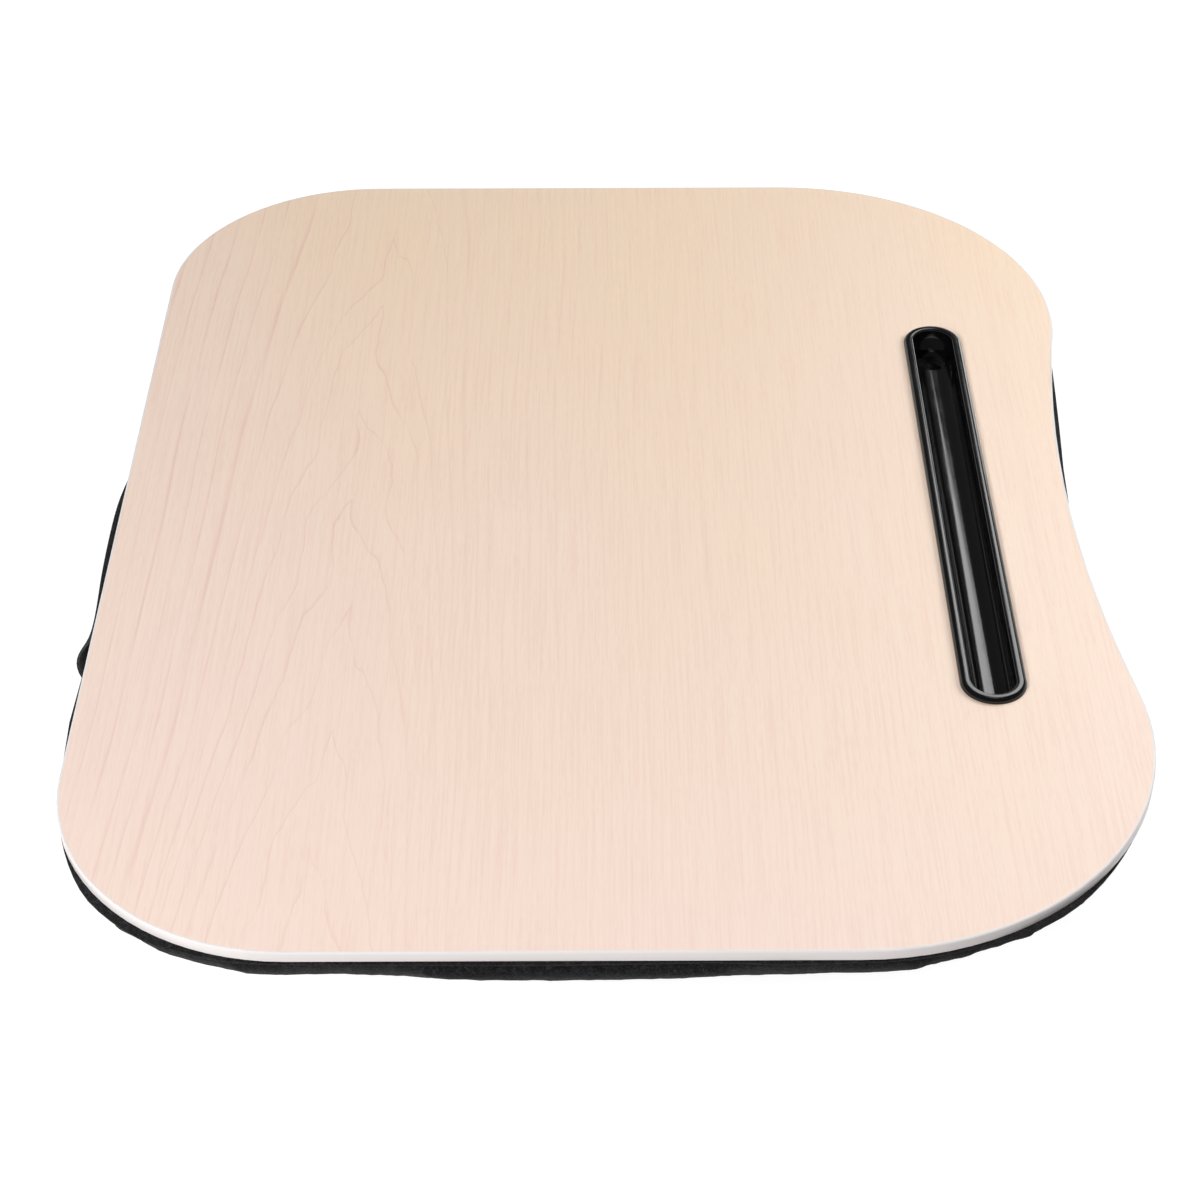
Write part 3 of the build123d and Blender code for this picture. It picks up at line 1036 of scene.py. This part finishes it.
class LAPTRAY_OT_seam(bpy.types.Operator):
    """Sew the row of stitches along the cushion's upper edge"""

    bl_idname = "laptray.seam"
    bl_label = "Seam"

    def execute(self, context):
        sizes = context.scene.lap_tray_cushion
        cover = bpy.data.objects["cushion_cover"]
        outside = 20 * MM
        stitches = []
        for place, along in step_round(panel_outline(), sizes.stitch_pitch):
            # The cloth is found from outside, at the height of the stitches
            outwards = Vector((along.y, -along.x, 0))
            start = place + outwards * outside
            start.z = seam_height - sizes.stitch_depth
            found, hit, normal, _ = cover.ray_cast(start, -outwards)
            if found:
                stitches.append(lay_stitch(sizes, hit, normal, along))
        seam = rename(join(*stitches), "cover_stitches")
        finish_piece(seam, thread(), "black_felt", smooth=60)
        return {"FINISHED"}


def sweep_band(sizes, stations):
    """Lay a flat band along the stations, and give it its thickness."""
    last = len(stations) - 1
    deselect_all()
    bpy.ops.mesh.primitive_grid_add(x_subdivisions=last, y_subdivisions=4, size=1)
    strap = name_new("carry_strap_felt")
    for vertex in strap.data.vertices:
        index = min(round((vertex.co.x + 0.5) * last), last)
        x, y, z, lean = stations[index]
        before = Vector(stations[max(index - 1, 0)][:3])
        after = Vector(stations[min(index + 1, last)][:3])
        along = (after - before).normalized()
        flat = Vector((0, 0, 1)).cross(along).normalized()
        turn = math.radians(lean)
        side = (flat * math.cos(turn) + along.cross(flat) * math.sin(turn)).normalized()
        vertex.co = (Vector((x, y, z)) + side * vertex.co.y * sizes.width / MM) * MM
    edit_all(strap, bpy.ops.mesh.normals_make_consistent, inside=False)
    apply_modifier(strap, "SUBSURF", levels=2, render_levels=2)
    apply_modifier(strap, "SOLIDIFY", thickness=sizes.thickness, offset=0)
    soften(strap, sizes.rounding, 60)
    return strap


class LAPTRAY_OT_carry_strap(bpy.types.Operator):
    """Bend the felt carry strap from its near end to its far end"""

    bl_idname = "laptray.carry_strap"
    bl_label = "Carry strap"

    def execute(self, context):
        sizes = context.scene.lap_tray_strap
        # Middle line of the band from the near seam to the far one, as X, Y and Z in mm, and how far it leans
        # there in degrees, from lying flat to hanging upright
        half = sizes.end_distance / 2 / MM
        edge = strap_side / MM
        stations = [
            (edge + 14.0, -half + 4, 44.6, 0),
            (edge + 10.0, -half + 4, 44.6, 0),
            (edge + 8.2, -half + 4.2, 44.3, 6),
            (edge + 6.6, -half + 6.0, 43.2, 40),
            (edge + 5.2, -half + 11.0, 40.6, 72),
            (edge + 4.2, -half + 22, 35.6, 84),
            (edge + 2.6, -half + 42, 32.2, 88),
            (edge + 1.2, -half + 62, 31.6, 88),
            (edge + 0.9, -half + 86, 31.6, 88),
            (edge + 1.0, -half + 110, 30.6, 86),
            (edge + 5.4, -half + 132, 30.2, 80),
            (edge + 8.6, -half + 152, 32.4, 72),
            (edge + 9.2, half - 10, 37.0, 52),
            (edge + 10.2, half - 3, 41.2, 22),
            (edge + 11.7, half - 0.5, 43.6, 4),
            (edge + 14.5, half, 44.4, 0),
        ]
        strap = sweep_band(sizes, stations)
        felt = felt_cloth("Strap felt", (31, 17, 5))
        finish_piece(strap, felt, "black_felt", "carry_strap", smooth=40)
        return {"FINISHED"}


def add_floor(glow):
    """Lay a round floor with a low wall round its edge."""
    deselect_all()
    bpy.ops.mesh.primitive_circle_add(vertices=96, radius=FLOOR_RADIUS, fill_type="NGON", location=(0, 0, 0))
    floor = name_new("studio_sweep")
    edit(floor)
    bpy.ops.mesh.inset(thickness=FLOOR_BORDER)
    bpy.ops.mesh.select_all(action="INVERT")
    bpy.ops.mesh.select_mode(type="EDGE")
    bpy.ops.mesh.select_all(action="DESELECT")
    bpy.ops.mesh.select_non_manifold()
    bpy.ops.mesh.extrude_region_move(TRANSFORM_OT_translate={"value": (0, 0, WALL_HEIGHT)})
    bpy.ops.object.mode_set(mode="OBJECT")
    floor.data.materials.append(studio_floor(glow))
    floor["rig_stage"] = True


def add_softbox(name, power, size, place, mirrored):
    """Add an oblong lamp that faces the middle of the board, and that gloss mirrors or not."""
    deselect_all()
    bpy.ops.object.light_add(type="AREA", location=place)
    light = name_new(name)
    light.data.energy = power
    light.data.shape = "RECTANGLE"
    light.data.size, light.data.size_y = size
    light.visible_glossy = mirrored
    light.rotation_euler = (Vector(place) - Vector((0, 0, board_top))).to_track_quat("Z", "Y").to_euler()


def add_camera(context, settings):
    """Place the camera where the photograph was taken from."""
    bpy.ops.object.camera_add(location=(0, 0, 0))
    camera = name_new("camera")
    camera.data.lens = settings.lens
    camera.data.sensor_width = 36
    camera.data.clip_start = 0.01
    place = Vector((settings.camera_x, settings.camera_y, board_top + settings.camera_height))
    tilt = Matrix.Rotation(math.pi / 2 - settings.pitch, 4, "X")
    camera.matrix_world = Matrix.Translation(place) @ tilt @ Matrix.Rotation(settings.roll, 4, "Z")
    context.scene.camera = camera


class LAPTRAY_OT_studio(bpy.types.Operator):
    """Set the floor, the lights and the camera"""

    bl_idname = "laptray.studio"
    bl_label = "Studio"

    def execute(self, context):
        settings = context.scene.lap_tray_studio
        add_floor(settings.glow)
        # The two front ones leave no marks of their own in the gloss
        add_softbox("key", settings.key, size=(0.45, 0.45), place=(-0.8, -1.06, 0.8), mirrored=False)
        add_softbox("side", settings.side, size=(0.4, 0.4), place=(1.0, 0.3, 0.6), mirrored=False)
        add_softbox("back", settings.back, size=(0.58, 0.58), place=(0.57, 1.14, 1.15), mirrored=True)
        add_softbox("low", settings.low, size=(0.8, 0.4), place=(0.85, 1.7, 0.28), mirrored=True)
        add_softbox("top", settings.top, size=(0.3, 0.3), place=(0.3, 0.45, 1.5), mirrored=True)
        world = bpy.data.worlds.new("Studio")
        context.scene.world = world
        world.use_nodes = True
        background = world.node_tree.nodes["Background"].inputs
        background["Color"].default_value = (1, 1, 1, 1)
        background["Strength"].default_value = settings.fill
        add_camera(context, settings)
        context.scene.view_settings.view_transform = "Standard"
        return {"FINISHED"}


class LAPTRAY_PT_panel(bpy.types.Panel):
    """List the lap tray's pieces, in the order in which they are made"""

    bl_idname = "LAPTRAY_PT_panel"
    bl_label = "Lap tray"
    bl_space_type = "VIEW_3D"
    bl_region_type = "UI"
    bl_category = "Lap tray"

    def draw(self, context):
        for operator in OPERATORS:
            self.layout.operator(operator.bl_idname)


GROUPS = {
    "lap_tray_edging": LapTrayEdging,
    "lap_tray_pen_tray": LapTrayPenTray,
    "lap_tray_cushion": LapTrayCushion,
    "lap_tray_strap": LapTrayStrap,
    "lap_tray_colours": LapTrayColours,
    "lap_tray_studio": LapTrayStudio,
}
OPERATORS = (
    LAPTRAY_OT_studio,
    LAPTRAY_OT_board,
    LAPTRAY_OT_edge_band,
    LAPTRAY_OT_pen_tray,
    LAPTRAY_OT_cushion,
    LAPTRAY_OT_seam,
    LAPTRAY_OT_carry_strap,
)


def register():
    """Register the classes and give the scene their settings."""
    for group_name, group in GROUPS.items():
        bpy.utils.register_class(group)
        setattr(bpy.types.Scene, group_name, PointerProperty(type=group))
    for each in (*OPERATORS, LAPTRAY_PT_panel):
        bpy.utils.register_class(each)


def unregister():
    """Take the classes and their settings out again."""
    for each in (LAPTRAY_PT_panel, *reversed(OPERATORS)):
        bpy.utils.unregister_class(each)
    for group_name, group in GROUPS.items():
        delattr(bpy.types.Scene, group_name)
        bpy.utils.unregister_class(group)


def main():
    """Make every piece."""
    register()
    for operator in OPERATORS:
        group, action = operator.bl_idname.split(".")
        getattr(getattr(bpy.ops, group), action)()
    boxes = {"cad": cad_box, "visual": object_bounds()}
    {key: [list(low), list(high)] for key, (low, high) in boxes.items()}


if __name__ == "__main__":
    main()
